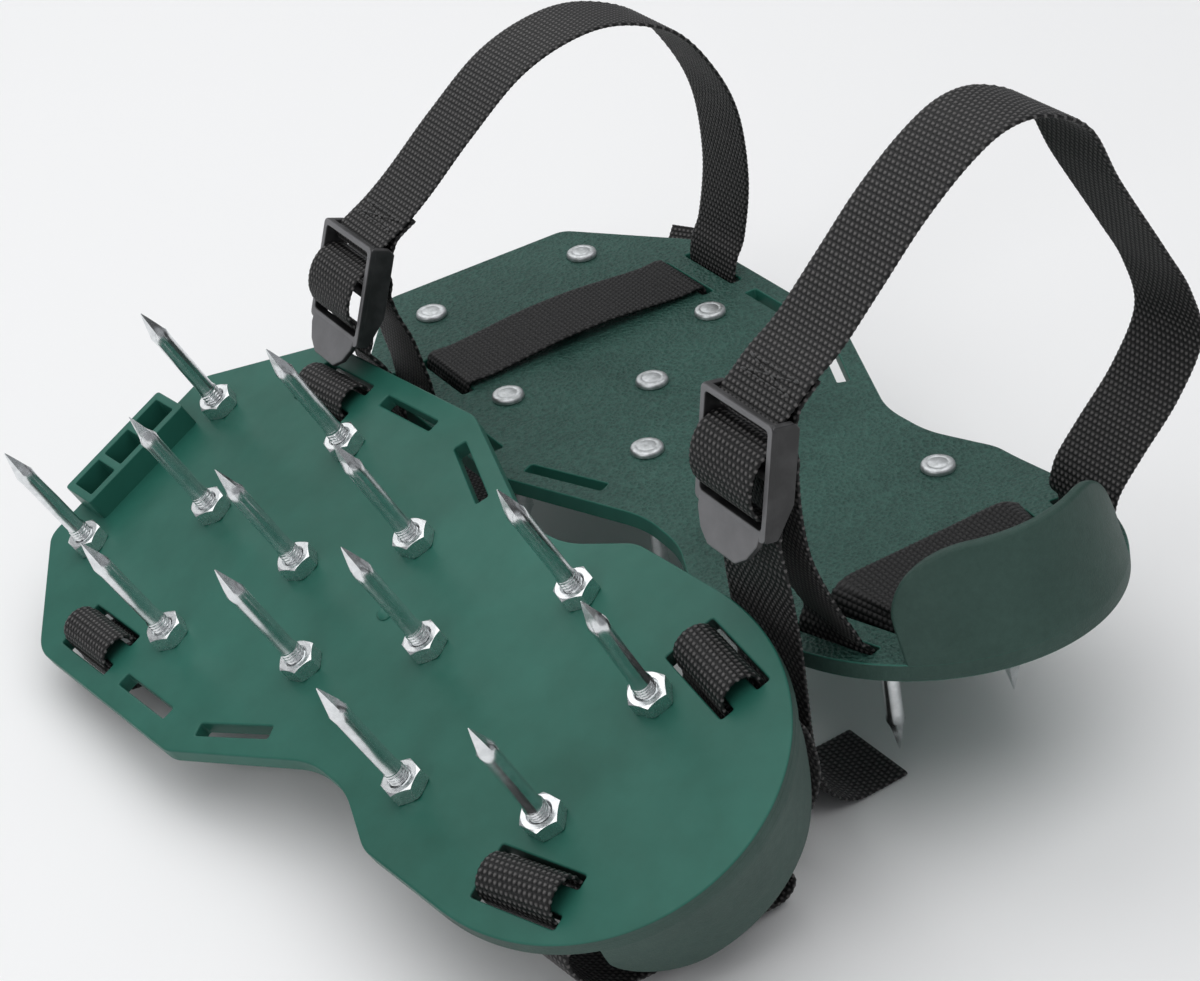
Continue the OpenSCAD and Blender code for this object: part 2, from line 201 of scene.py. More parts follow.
def finish_mesh(bm, name, sharp=35):
    """The bmesh as a smooth-shaded mesh whose edges over `sharp` degrees stay crisp."""
    bmesh.ops.recalc_face_normals(bm, faces=bm.faces)
    mesh = bpy.data.meshes.new(name)
    bm.to_mesh(mesh)
    bm.free()
    mesh.polygons.foreach_set("use_smooth", [True] * len(mesh.polygons))
    mesh.set_sharp_from_angle(angle=math.radians(sharp))
    return mesh


def weighted(obj):
    """Lets the large faces set the shading next to rounded rims."""
    modifier = obj.modifiers.new("weighted", "WEIGHTED_NORMAL")
    modifier.keep_sharp = True
    return obj


# ---------- materials ----------
class Nodes:
    """Short calls for building one node tree."""

    def __init__(self, name):
        self.material = bpy.data.materials.new(name)
        self.material.use_nodes = True
        self.tree = self.material.node_tree
        self.tree.nodes.clear()
        out = self.tree.nodes.new("ShaderNodeOutputMaterial")
        self.bsdf = self.tree.nodes.new("ShaderNodeBsdfPrincipled")
        self.tree.links.new(self.bsdf.outputs[0], out.inputs["Surface"])
        self.spot_node = None

    def node(self, kind, inputs=None, **settings):
        made = self.tree.nodes.new("ShaderNode" + kind)
        for key, value in settings.items():
            setattr(made, key, value)
        for key, value in (inputs or {}).items():
            self.feed(made.inputs[key], value)
        return made

    def feed(self, socket, value):
        if isinstance(value, bpy.types.NodeSocket):
            self.tree.links.new(value, socket)
        elif isinstance(value, bpy.types.Node):
            self.tree.links.new(value.outputs[0], socket)
        else:
            socket.default_value = value

    def set(self, **inputs):
        for key, value in inputs.items():
            self.feed(self.bsdf.inputs[key.replace("_", " ")], value)

    def math(self, operation, a, b=0.0, c=0.0):
        return self.node("Math", {0: a, 1: b, 2: c}, operation=operation).outputs[0]

    def ramp(self, value, stops):
        made = self.node("ValToRGB", {"Fac": value})
        elements = made.color_ramp.elements
        while len(elements) < len(stops):
            elements.new(0.5)
        for element, (at, colour) in zip(elements, stops):
            element.position = at
            element.color = (*colour, 1)
        return made.outputs[0]

    def noise(self, scale, detail=3, roughness=0.5, vector=None):
        made = self.node("TexNoise", {"Scale": scale, "Detail": detail, "Roughness": roughness})
        self.feed(made.inputs["Vector"], vector or self.spot())
        return made.outputs[0]

    def spot(self):
        """The point in the shoe's own millimetres, as stored on the mesh."""
        if self.spot_node is None:
            self.spot_node = self.node("Attribute", attribute_name="spot")
        return self.spot_node.outputs["Vector"]

    def bump(self, height, distance, strength=1.0, under=None):
        made = self.node("Bump", {"Height": height, "Distance": distance, "Strength": strength})
        if under is not None:
            self.feed(made.inputs["Normal"], under)
        return made.outputs[0]

    def edge_light(self, radius):
        """0 on flats and more beside an edge, where a bevelled normal leans off the true one."""
        bevel = self.node("Bevel", {"Radius": radius}, samples=6)
        normal = self.node("NewGeometry").outputs["Normal"]
        dot = self.node("VectorMath", {0: bevel.outputs[0], 1: normal}, operation="DOT_PRODUCT")
        return self.math("SUBTRACT", 1.0, dot.outputs["Value"])


def smooth_plastic():
    """Injection-moulded green: satin, with slow flow marks whose light and dark patches are partly painted
    cloudy reflections, and fine scuffs.
    """
    n = Nodes("green_satin")
    flow = n.noise(0.012, 2, 0.4)
    cloud = n.noise(0.06, 4, 0.6)
    # The patches of this tone are partly flow marks and partly painted cloudy reflections.
    flow_and_painted_reflection = n.math("MULTIPLY_ADD", cloud, 0.4, n.math("MULTIPLY", flow, 0.6))
    n.set(Base_Color=n.ramp(flow_and_painted_reflection, [(0.3, (0.011, 0.082, 0.058)), (0.7, (0.026, 0.138, 0.104))]))
    n.set(Roughness=n.math("MULTIPLY_ADD", n.noise(0.25, 5, 0.65), 0.16, 0.33))
    fine = n.bump(n.noise(1.6, 3, 0.6), 0.00004, 0.35)
    n.set(Normal=n.bump(n.noise(0.035, 2, 0.5), 0.0009, 0.35, fine))
    n.set(Specular_IOR_Level=0.28)
    return n.material


def grained_plastic():
    """The same green with a moulded leather grain, which looks darker and greyer."""
    n = Nodes("green_grained")
    cells = n.node("TexVoronoi", {"Vector": n.spot(), "Scale": 0.8, "Randomness": 1.0}, feature="SMOOTH_F1")
    n.feed(cells.inputs["Smoothness"], 0.35)
    wrinkle = n.noise(1.1, 4, 0.6)
    pebbles = n.math("MULTIPLY", cells.outputs["Distance"], 0.7)
    grain = n.math("ADD", pebbles, n.math("MULTIPLY", wrinkle, 0.6))
    tone = n.math("MULTIPLY_ADD", n.noise(0.03, 3, 0.6), 0.5, n.math("MULTIPLY", grain, 0.5))
    n.set(Base_Color=n.ramp(tone, [(0.25, (0.007, 0.036, 0.028)), (0.75, (0.034, 0.106, 0.084))]))
    n.set(Roughness=n.math("MULTIPLY_ADD", grain, 0.16, 0.38), Specular_IOR_Level=0.34)
    n.set(Normal=n.bump(grain, 0.001, 1.0))
    return n.material


def matte_painted_shade_plastic():
    """The same green with the fine spark-eroded, glossless finish of the cup; its darker, greyer colour is
    painted shade.
    """
    n = Nodes("green_matte_painted_shade")
    tone = n.math("MULTIPLY_ADD", n.noise(0.05, 3, 0.6), 0.5, n.math("MULTIPLY", n.noise(0.5, 4, 0.7), 0.5))
    # Painted shade: the base colour is darker and greyer than the satin green.
    n.set(Base_Color=n.ramp(tone, [(0.3, (0.024, 0.056, 0.045)), (0.7, (0.040, 0.084, 0.069))]))
    n.set(Roughness=n.math("MULTIPLY_ADD", n.noise(0.3, 4, 0.6), 0.16, 0.46), Specular_IOR_Level=0.32)
    n.set(Normal=n.bump(n.noise(1.7, 3, 0.65), 0.0003, 0.6))
    return n.material


def zinc(name, light, rough):
    """Bright zinc plating with faint cloudy patches and drawn marks, duller where it is over the sole."""
    n = Nodes(name)
    over = n.math("GREATER_THAN", n.node("SeparateXYZ", {0: n.spot()}).outputs[2], SOLE_T + 0.3)
    cloud = n.math("MULTIPLY_ADD", over, -0.35, n.noise(0.5, 4, 0.6))
    n.set(Base_Color=n.ramp(cloud, [(0.0, DULL_ZINC), (0.3, GREY_ZINC), (0.7, light)]), Metallic=1.0)
    mottle = n.math("MULTIPLY_ADD", n.noise(1.1, 4, 0.7), 0.12, rough)
    n.set(Roughness=n.math("MULTIPLY_ADD", over, 0.22, mottle))
    stretched = n.node("Mapping", {"Vector": n.spot(), "Scale": (5, 5, 0.3)}).outputs[0]
    n.set(Normal=n.bump(n.noise(0.7, 2, 0.5, stretched), 0.00003, 0.2))
    return n.material


def black_webbing(name, bead_highlight_tone):
    """Black polypropylene webbing, its bead tops painted lighter as a highlight. UVs are millimetres across
    and along the strap.
    """
    n = Nodes(name)
    uv = n.node("UVMap", uv_map="UVMap").outputs[0]
    part = n.node("SeparateXYZ", {0: uv})
    across, along = part.outputs[0], part.outputs[1]
    bead_w = 2 * WEB_W / WEB_COLUMNS
    bead_l = 2 * WEB_STEP
    row = n.math("FLOOR", n.math("DIVIDE", along, bead_l))
    shift = n.math("MULTIPLY", n.math("MODULO", row, 2.0), 0.5)
    u = n.math("FRACT", n.math("ADD", n.math("DIVIDE", across, bead_w), shift))
    v = n.math("FRACT", n.math("DIVIDE", along, bead_l))
    hill_u = n.math("SINE", n.math("MULTIPLY", u, math.pi))
    hill_v = n.math("SINE", n.math("MULTIPLY", v, math.pi))
    bead = n.math("MULTIPLY", hill_u, hill_v)
    slant = n.math("ADD", n.math("MULTIPLY", u, 9.0), n.math("MULTIPLY", v, 5.0))
    fibre = n.math("SINE", n.math("MULTIPLY", slant, 2 * math.pi))
    fuzz = n.noise(2.4, 3, 0.7)
    # Painted highlight: the bead tops are lighter than the black between them.
    painted_bead_highlight = n.math("MULTIPLY", bead, n.math("MULTIPLY_ADD", fuzz, 0.7, 0.6))
    n.set(Base_Color=n.ramp(painted_bead_highlight, [(0.42, (0.0018, 0.0017, 0.0018)), (0.95, bead_highlight_tone)]))
    n.set(Roughness=0.46, Specular_IOR_Level=0.36)
    first = n.bump(bead, 0.0004, 0.8)
    n.set(Normal=n.bump(n.math("MULTIPLY_ADD", fibre, 0.5, fuzz), 0.00006, 0.6, first))
    return n.material


def buckle_black():
    """Black moulded plastic with a fine spark-eroded texture, and a painted grey highlight on its front
    faces and beside its edges.
    """
    n = Nodes("buckle_black")
    bloom = n.noise(0.12, 3, 0.6)
    # Painted highlight: the base colour is lighter beside edges and on the faces that look out of the
    # front.
    edge = n.math("MULTIPLY", n.edge_light(0.0006), 1.2)
    painted_front_highlight = n.node("Attribute", attribute_name="painted_highlight_facing").outputs["Fac"]
    tone = n.math("MULTIPLY_ADD", painted_front_highlight, 0.55, n.math("MULTIPLY_ADD", bloom, 0.35, edge))
    n.set(Base_Color=n.ramp(tone, [(0.15, (0.011, 0.011, 0.0115)), (0.9, (0.20, 0.198, 0.205))]))
    n.set(Roughness=n.math("MULTIPLY_ADD", n.noise(0.8, 3, 0.6), 0.14, 0.36), Specular_IOR_Level=0.5)
    n.set(Normal=n.bump(n.noise(2.2, 2, 0.6), 0.00005, 0.5))
    return n.material


def thread_black():
    """Black sewing thread, a little fuzzy and twisted."""
    n = Nodes("sewing_thread")
    tone = n.noise(2.0, 2, 0.5)
    n.set(Base_Color=n.ramp(tone, [(0.2, (0.006, 0.006, 0.006)), (0.8, (0.035, 0.034, 0.034))]))
    n.set(Roughness=0.55, Sheen_Weight=0.2)
    twist = n.node("TexWave", {"Vector": n.spot(), "Scale": 1.4, "Distortion": 1.5}).outputs[1]
    n.set(Normal=n.bump(twist, 0.00008, 0.6))
    return n.material


def pale_floor():
    """A plain, nearly white floor without gloss."""
    n = Nodes("floor")
    n.set(Base_Color=n.ramp(n.noise(0.004, 2, 0.5), [(0.2, (0.89, 0.89, 0.89)), (0.8, (0.91, 0.91, 0.91))]))
    n.set(Roughness=n.math("MULTIPLY_ADD", n.noise(0.02, 2, 0.5), 0.1, 0.75), Specular_IOR_Level=0.2)
    return n.material


DULL_ZINC = (0.44, 0.46, 0.46)
GREY_ZINC = (0.66, 0.68, 0.69)
SATIN = smooth_plastic()
GRAINED = grained_plastic()
MATTE_PAINTED_SHADE = matte_painted_shade_plastic()
SPIKE_ZINC = zinc("spike_zinc", (0.86, 0.88, 0.89), 0.17)
NUT_ZINC = zinc("nut_zinc", (0.84, 0.86, 0.86), 0.22)
# Two copies of one webbing: the first with bright painted highlights on its beads, the second with dim
# ones, as painted shade on the base pieces across the sole.
WEBBING = black_webbing("black_webbing", (0.110, 0.105, 0.103))
SHADED_WEBBING = black_webbing("painted_shade_webbing", (0.026, 0.025, 0.025))
BUCKLE_BLACK = buckle_black()
THREAD = thread_black()


# ---------- the sole ----------
def rounded_corner(a, b, c, r, steps=10):
    """Points of the arc that rounds corner b between a and c."""
    a, b, c = Vector(a), Vector(b), Vector(c)
    u, v = (a - b).normalized(), (c - b).normalized()
    half = u.angle(v) / 2
    centre = b + (u + v).normalized() * r / math.sin(half)
    start = b + u * r / math.tan(half) - centre
    end = b + v * r / math.tan(half) - centre
    first = math.atan2(start.y, start.x)
    sweep = (math.atan2(end.y, end.x) - first + math.pi) % (2 * math.pi) - math.pi
    turns = [first + sweep * i / steps for i in range(steps + 1)]
    return [(centre.x + r * math.cos(turn), centre.y + r * math.sin(turn)) for turn in turns]


def heel_point(turn):
    """A point on the heel's round end; turn is 0 at the +Y side and 180 at the -Y side."""
    t = math.radians(turn)
    return (HEEL_CENTRE_X - HEEL_ROUND * math.sin(t), HEEL_HALF * math.cos(t))


def sole_outline():
    """The whole sole's outline: the +Y side, the heel's round end and the -Y side."""
    side = []
    for before, corner, after in zip(OUTLINE, OUTLINE[1:], OUTLINE[2:]):
        side += rounded_corner(before[:2], corner[:2], after[:2], corner[2])
    steps = 72
    heel = [heel_point(180 * i / steps) for i in range(steps + 1)]
    return side + heel + [(x, -y) for x, y in reversed(side)]


def rounded_box(cx, cy, length, width, turn, r):
    """A turned rectangle with rounded corners, as points."""
    steps = 5
    half = Vector((length / 2 - r, width / 2 - r))
    spin = Matrix.Rotation(math.radians(turn), 2)
    points = []
    for quarter, (sx, sy) in enumerate([(1, 1), (-1, 1), (-1, -1), (1, -1)]):
        for i in range(steps + 1):
            a = math.radians(90 * (quarter + i / steps))
            p = spin @ Vector((sx * half.x + r * math.cos(a), sy * half.y + r * math.sin(a)))
            points.append((cx + p.x, cy + p.y))
    return points


def circle(cx, cy, r):
    steps = 40
    turns = [2 * math.pi * i / steps for i in range(steps)]
    return [(cx + r * math.cos(turn), cy + r * math.sin(turn)) for turn in turns]


def is_left_turning(points):
    """Whether an outline runs counterclockwise."""
    return sum(a[0] * b[1] - b[0] * a[1] for a, b in zip(points, points[1:] + points[:1])) > 0


def plate(outline, holes, bottom, top, edge, steps=3):
    """A flat plate with holes, whose rims are rounded by `edge`, as a bmesh."""
    curve = bpy.data.curves.new("plate", "CURVE")
    curve.dimensions = "2D"
    curve.fill_mode = "BOTH"
    curve.extrude = (top - bottom) / 2 - edge
    curve.bevel_depth = edge
    curve.bevel_resolution = steps
    curve.offset = -edge
    for loop, left in [(outline, True)] + [(hole, False) for hole in holes]:
        if is_left_turning(loop) != left:
            loop = loop[::-1]
        spline = curve.splines.new("POLY")
        spline.points.add(len(loop) - 1)
        for point, (x, y) in zip(spline.points, loop):
            point.co = (x, y, 0, 1)
        spline.use_cyclic_u = True
    shape = link(bpy.data.objects.new("plate", curve))
    ready = shape.evaluated_get(bpy.context.evaluated_depsgraph_get())
    mesh = bpy.data.meshes.new_from_object(ready)
    bm = bmesh.new()
    bm.from_mesh(mesh)
    bpy.data.objects.remove(shape)
    bpy.data.curves.remove(curve)
    bpy.data.meshes.remove(mesh)
    bmesh.ops.remove_doubles(bm, verts=bm.verts, dist=0.001)
    bmesh.ops.translate(bm, verts=bm.verts, vec=(0, 0, (top + bottom) / 2))
    return bm


def both_sides(y):
    """One place on the middle, or a pair off it."""
    return [0] if y == 0 else [-y, y]


def cut_across(bm, x):
    """Cuts every face along the plane at this x, so that it can bend there."""
    bmesh.ops.bisect_plane(bm, geom=bm.verts[:] + bm.edges[:] + bm.faces[:], dist=0.0001,
                           plane_co=(x, 0, 0), plane_no=(1, 0, 0))


def join(bm, other):
    """Adds another bmesh to this one."""
    mesh = bpy.data.meshes.new("part")
    other.to_mesh(mesh)
    other.free()
    bm.from_mesh(mesh)
    bpy.data.meshes.remove(mesh)


def heel_cup():
    """The upright wall round the heel: its flat pattern is cut, then wrapped round the heel."""
    per_degree = 4
    turns = [i / per_degree for i in range(181 * per_degree)]
    lengths = [0.0]
    for a, b in zip(turns, turns[1:]):
        pa, pb = Vector(heel_point(a)), Vector(heel_point(b))
        lengths.append(lengths[-1] + (pb - pa).length)
    middle = lengths[90 * per_degree]

    def turn_at(s):
        want = s + middle
        low = min(max(bisect_right(lengths, want) - 1, 0), len(lengths) - 2)
        share = (want - lengths[low]) / (lengths[low + 1] - lengths[low])
        return turns[low] + share / per_degree

    def arc_at(y):
        turn = math.degrees(math.acos(max(-1, min(1, y / HEEL_HALF))))
        return lengths[round(turn * per_degree)] - middle

    lean_from = SOLE_T - 0.5

    def lean_at(z):
        return 1 - (1 - CUP_LEAN_IN) * max(0.0, z - lean_from) / (CUP_H - lean_from)

    root = 1.0
    rim = [(CUP_HALF, z) for z in (root, 5, 8, 11)]
    steps = 24
    for i in range(steps + 1):
        a = math.radians(90 * i / steps)
        rim.append((CUP_HALF - CUP_CORNER * (1 - math.cos(a)), CUP_H - CUP_CORNER * (1 - math.sin(a))))
    pattern = rim + [(-y, z) for y, z in reversed(rim)]
    bm = plate([(arc_at(y / lean_at(z)), z) for y, z in pattern], [], -CUP_T / 2, CUP_T / 2, 0.95, 5)
    span = arc_at(-CUP_HALF / lean_at(CUP_H - CUP_CORNER))
    cuts = 72
    for i in range(1, cuts):
        cut_across(bm, -span + 2 * span * i / cuts)
    proud = 0.06
    for v in bm.verts:
        turn = turn_at(v.co.x)
        x, y = heel_point(turn)
        t = math.radians(turn)
        out = Vector((-math.sin(t) / HEEL_ROUND, math.cos(t) / HEEL_HALF)).normalized()
        depth = CUP_T / 2 - v.co.z - proud
        z = v.co.y
        lean = lean_at(z)
        x, y = x - out.x * depth, y - out.y * depth
        v.co = (HEEL_CENTRE_X + (x - HEEL_CENTRE_X) * lean, y * lean, z)
    return bm


def toe_block():
    """The open block of three cells under the toe."""
    cell = (2 * BLOCK_HALF - 4 * BLOCK_WALL) / 3
    depth = BLOCK_DEPTH - 2 * BLOCK_WALL
    middle_x = TOE_X - BLOCK_DEPTH / 2
    cells = [rounded_box(middle_x, i * (cell + BLOCK_WALL), depth, cell, 0, 0.6) for i in (-1, 0, 1)]
    outline = rounded_box(middle_x, 0, BLOCK_DEPTH, 2 * BLOCK_HALF, 0, 1.2)
    into_sole = 0.4
    return plate(outline, cells, -BLOCK_H, into_sole, 0.35)


def gate_mark():
    """The small raised oval that the moulding gate leaves under the sole."""
    bm = bmesh.new()
    bmesh.ops.create_uvsphere(bm, u_segments=28, v_segments=14, radius=1)
    bmesh.ops.scale(bm, verts=bm.verts, vec=GATE_SIZE)
    bmesh.ops.translate(bm, verts=bm.verts, vec=GATE_AT)
    return bm


def finish_of(face):
    """Grained on the tread, matte with painted shade on the cup and round the heel's edge, satin elsewhere.
    """
    middle = face.calc_center_median()
    above = middle.z - SOLE_T
    if face.normal.z > 0.9 and abs(above) < 0.2:
        return TREAD_FACE
    heel_edge = middle.x < HEEL_EDGE_X and abs(face.normal.z) < 0.5
    return MATTE_SHADE_FACE if above > 0.3 or heel_edge else SATIN_FACE


def sole_mesh(name):
    """One sole, made flat and then bent up at the heel."""
    holes = [circle(x, y, THREAD_R + 0.1) for x, half in SPIKE_ROWS for y in both_sides(half)]
    slots = [rounded_box(x, side * y, SLOT_LEN, SLOT_W, side * turn, SLOT_CORNER)
             for x, y, turn in SLOTS for side in (-1, 1)]
    bm = plate(sole_outline(), holes + slots, 0, SOLE_T, RIM_ROUND)
    for part in (heel_cup(), toe_block(), gate_mark()):
        join(bm, part)
    cuts = 8
    for i in range(cuts + 1):
        cut_across(bm, BEND_X + BEND_ZONE * (i / cuts - 0.5))
    finishes = bm.faces.layers.int.new("finish")
    for face in bm.faces:
        face.normal_update()
        face[finishes] = finish_of(face)
    for v in bm.verts:
        v.co = bent(v.co)
    mesh = finish_mesh(bm, name)
    for face, finish in zip(mesh.polygons, mesh.attributes["finish"].data):
        face.material_index = finish.value
    return mesh


for shoe, place in SHOES:
    sole = put(f"{shoe}_sole_shell", sole_mesh(f"{shoe}_sole_shell"), place, [SATIN, GRAINED, MATTE_PAINTED_SHADE],
               f"{shoe}_shoe", [f"{shoe}_sole"])
    weighted(sole)


# ---------- spikes and nuts ----------
def rings_to_bmesh(rings):
    """Joins equal rings of points into a closed skin."""
    bm = bmesh.new()
    rows = [[bm.verts.new(p) for p in ring] for ring in rings]
    count = len(rows[0])
    for low, high in zip(rows, rows[1:]):
        for i in range(count):
            bm.faces.new((low[i], low[(i + 1) % count], high[(i + 1) % count], high[i]))
    bm.faces.new(rows[0][::-1])
    bm.faces.new(rows[-1])
    return bm


def spike():
    """One spike, head up: a low domed head, a real helical thread, a plain shaft and a four-sided point."""
    around = 32
    angles = [2 * math.pi * i / around for i in range(around)]
    rings = []

    def ring(r, z):
        rings.append([(r * math.cos(a), r * math.sin(a), z) for a in angles])

    top = SOLE_T + HEAD_H
    for r, drop in HEAD_PROFILE:
        ring(r, top - drop)
    ring(HEAD_R, SOLE_T + 0.25)
    ring(HEAD_R - 0.3, SOLE_T + 0.02)
    ring(THREAD_R - 0.05, SOLE_T - 0.1)
    thread_top = -NUT_H + 1.5
    ring(THREAD_R - 0.05, thread_top + 0.05)
    rows = 44
    run_out = 1 / 6
    for j in range(rows + 1):
        share = j / rows
        z = thread_top - share * (thread_top + THREAD_BELOW)
        fade = min(1.0, (1 - share) / run_out)
        points = []
        for i, a in enumerate(angles):
            phase = (z / THREAD_PITCH - i / around) % 1.0
            r = THREAD_R - 0.04 - THREAD_DEPTH * fade * abs(2 * phase - 1) ** 0.8 - (1 - fade) * 0.3
            points.append((r * math.cos(a), r * math.sin(a), z))
        rings.append(points)
    ring(SHAFT_R, -THREAD_BELOW - 0.5)
    for share in (0.3, 0.6, 0.9):
        ring(SHAFT_R, -THREAD_BELOW - share * (SPIKE_LEN - POINT_H - THREAD_BELOW))
    steps = 9
    squared_at = 1 / 3.2
    tip_r = 0.14
    for j in range(steps + 1):
        share = j / steps
        square = min(1.0, share / squared_at)
        z = -(SPIKE_LEN - POINT_H) - share * POINT_H
        size = SHAFT_R * 1.02 * (1 - share) ** 0.93 + tip_r
        points = []
        for a in angles:
            flat = 1 / (abs(math.cos(a)) + abs(math.sin(a)))
            r = size * ((1 - square) + square * flat)
            points.append((r * math.cos(a), r * math.sin(a), z))
        rings.append(points)
    return rings_to_bmesh(rings)


def nut():
    """One hexagon nut under the sole, with both faces chamfered and a bore."""
    around = 72
    round_r = NUT_FLATS / 2 * 0.985
    bore = THREAD_R + 0.05
    lead_in = 0.5
    chamfer = math.tan(math.radians(30))
    bm = bmesh.new()

    def hexagon_r(a):
        return NUT_FLATS / 2 / math.cos((a % (math.pi / 3)) - math.pi / 6)

    def ring(radius, height):
        made = []
        for i in range(around):
            a = 2 * math.pi * i / around
            r = radius(a)
            made.append((r * math.cos(a), r * math.sin(a), height(r)))
        return made

    rings = []
    for face, inward in ((-0.02, -1), (-NUT_H, 1)):
        half = [ring(lambda a: bore, lambda r: face + inward * lead_in),
                ring(lambda a: bore + lead_in, lambda r: face),
                ring(lambda a: round_r, lambda r: face),
                ring(hexagon_r, lambda r: face + inward * max(0.0, r - round_r) * chamfer)]
        rings += half[::-inward]
    rows = [[bm.verts.new(p) for p in points] for points in rings]
    for first, second in zip(rows, rows[1:] + rows[:1]):
        for i in range(around):
            bm.faces.new((first[i], first[(i + 1) % around], second[(i + 1) % around], second[i]))
    return bm


def repeat(make, places):
    """Copies of one shape, each turned by its own angle, as one bmesh."""
    bm = bmesh.new()
    for x, y, turn in places:
        one = make()
        one.transform(seat(x, y) @ Matrix.Rotation(turn, 4, "Z"))
        join(bm, one)
    return bm


for shoe, place in SHOES:
    nut_places = []
    for number, (x, half) in enumerate(SPIKE_ROWS, 1):
        spots = [(x, y, dice.uniform(0, 2 * math.pi)) for y in both_sides(half)]
        nut_places += [(x, y, dice.uniform(0, 2 * math.pi)) for y in both_sides(half)]
        name = f"{shoe}_spikes_{number}"
        put(name, finish_mesh(repeat(spike, spots), name, 40), place, SPIKE_ZINC,
            f"{shoe}_shoe", [f"{shoe}_spike_row_{number}"])
    name = f"{shoe}_nuts"
    put(name, finish_mesh(repeat(nut, nut_places), name, 24), place, NUT_ZINC,
        f"{shoe}_shoe", [f"{shoe}_spike_nuts"])


# ---------- webbing ----------
# Routes are points on the middle of the webbing, and the turn of its width about Z: (x, y, z, turn).
# Loops, legs and bars lie at one x, so they are (y, z). BAR_DIP is (y, z) from a slot's middle.
# Eyes and WRAP are in buckle coordinates: down the frame, and out of its face.
HEEL_LIFT = (BEND_X - HEEL_X) * math.sin(math.radians(HEEL_BEND))
FRONT_BAR, FRONT_LEAN = (66.5, 59.6), 20
HEEL_BAR, HEEL_LEAN = (61, 85.2), 10
UPTURNED_FRONT_BAR = (15, 18.5)
UPTURNED_HEEL_BAR = (0, 18.5 + HEEL_LIFT)
FOLDED_LEAN = 90
FLOOR_Z = -SPIKE_LEN + WEB_T / 2 + 0.05

BAR_DIP = [(0, 6), (0, 0), (-1.6, -3.3), (-5.5, -4.7), (-9.4, -3.3), (-11, 0), (-11.3, 4.4), (-13, 7.2)]
FRONT_LOOP = [(-60.5, 19), (-64, 38), (-62.5, 61), (-55, 79), (-43, 94), (-25, 102.5), (-8, 103.5),
              (11, 98), (30, 85), (45.6, 72.6)]
HEEL_LOOP = [(-41.5, 19.1), (-43.8, 23.5), (-51, 31), (-63, 43), (-71, 57.5), (-67, 73), (-58.5, 88),
             (-44, 112), (-35, 129), (-22, 137), (-10, 138), (2, 133), (16, 123), (29, 111), (41.5, 99.6)]
EYE = [(-10.3, -8.8), (-5.1, -4.2), (-1.3, -0.9), (0.4, -0.3), (1.9, -1.1), (2.5, -2.75), (1.7, -4.3),
       (-1.3, -5.5), (-5.1, -6.5), (-10.7, -11.4)]
FOLDED_EYE = [(-12, -4.3), (-5, -5), (-0.4, -5.3), (2.4, -4.4), (2.8, -2.2), (1.4, -0.1), (-0.8, -0.1),
              (-2.6, -1.8), (-4.2, -2.9), (-11, -2.4)]
WRAP = [(11.6, -7), (8.6, -6.8), (5.9, -5.4), (4.7, -2.6), (4.7, 0.6), (6.4, 3.8), (10.2, 6), (14.8, 6.6),
        (19, 5.7), (22, 3.2), (23.1, -0.3), (25, -2.9), (28, -3.4), (31, -3.4)]
BULGE = 7  # the point of WRAP where its inner run becomes the outer one
FRONT_LEG = [(57.3, 19), (59.4, 29), (62.6, 38), (64.1, 45)]
HEEL_LEG = [(43.2, 19), (48.5, 30), (54.4, 46), (56.3, 60), (56.3, 71.2)]
FRONT_TAIL = [(48, 66.5, 12, 0), (48, 65.8, 3, 0), (48.3, 65.2, -8, 3), (49, 64, -20, 5),
              (50.5, 61, -32, 8), (53, 54, -39, 12), (56, 45, FLOOR_Z + 0.6, 14), (61, 28, FLOOR_Z, 14),
              (65, 8, FLOOR_Z, 10), (67, -10, FLOOR_Z, 10), (68.5, -24, FLOOR_Z, 14),
              (72.5, -38, FLOOR_Z, 20), (78.5, -50, FLOOR_Z + 2.5, 25), (87, -63, -34, 27),
              (95, -76, -23, 27), (101, -87, -12, 27)]
HEEL_TAIL = [(-145.5, 61, 33, 6), (-144.5, 59.6, 22, 7), (-143, 58.2, 5, 8), (-141.5, 57, -10, 9),
             (-139.5, 54, -25, 8), (-138, 48.5, -36, 6), (-137, 41, FLOOR_Z + 1.2, 4),
             (-136.3, 33, FLOOR_Z, 2), (-136, 22.5, FLOOR_Z, 0)]
UPTURNED_FRONT_LOOP = [(-30, 23.5), (-10, 36), (8, 46.5), (19, 52), (26, 50.5), (28.5, 45), (24, 38),
                       (14, 33), (4, 28), (-4, 22.5), (-5, 17), (0, 13.9)]
UPTURNED_HEEL_LOOP = [(-43, 15), (-41, 27), (-30, 37.5), (-10, 46.5), (2, 55), (9, 58.3), (13.5, 56),
                      (12, 49.5), (2, 42), (-12, 36), (-22, 29.5), (-26, 23), (-22, 16.5), (-15, 13.9)]
UPTURNED_FRONT_TAIL = [(FRONT_X, 46.3, 15.1, 0), (FRONT_X, 51.2, 15.8, 0), (FRONT_X, 54.6, 19.5, 0),
                       (48.5, 54, 27, 0), (51, 49.8, 38, 0), (56.5, 46.3, 48, 0), (64.5, 42.5, 54, 0),
                       (75, 31, 51.5, 0), (78, 12, 44.6, 0), (79, -8, 35.4, 0), (79, -25, 27.6, 0)]
UPTURNED_HEEL_TAIL = [(HEEL_X, 31.3, 19.7, 0), (HEEL_X, 36, 20.8, 0), (HEEL_X, 39, 25, 0),
                      (-146.5, 39.2, 32, 0), (-144.5, 37, 43, 0), (-140, 32.5, 53, 0), (-132, 27, 60.5, 0),
                      (-122, 20, 62, 0), (-112, 8, 57.5, 0), (-106, -8, 50, 0), (-104, -25, 42.8, 0)]

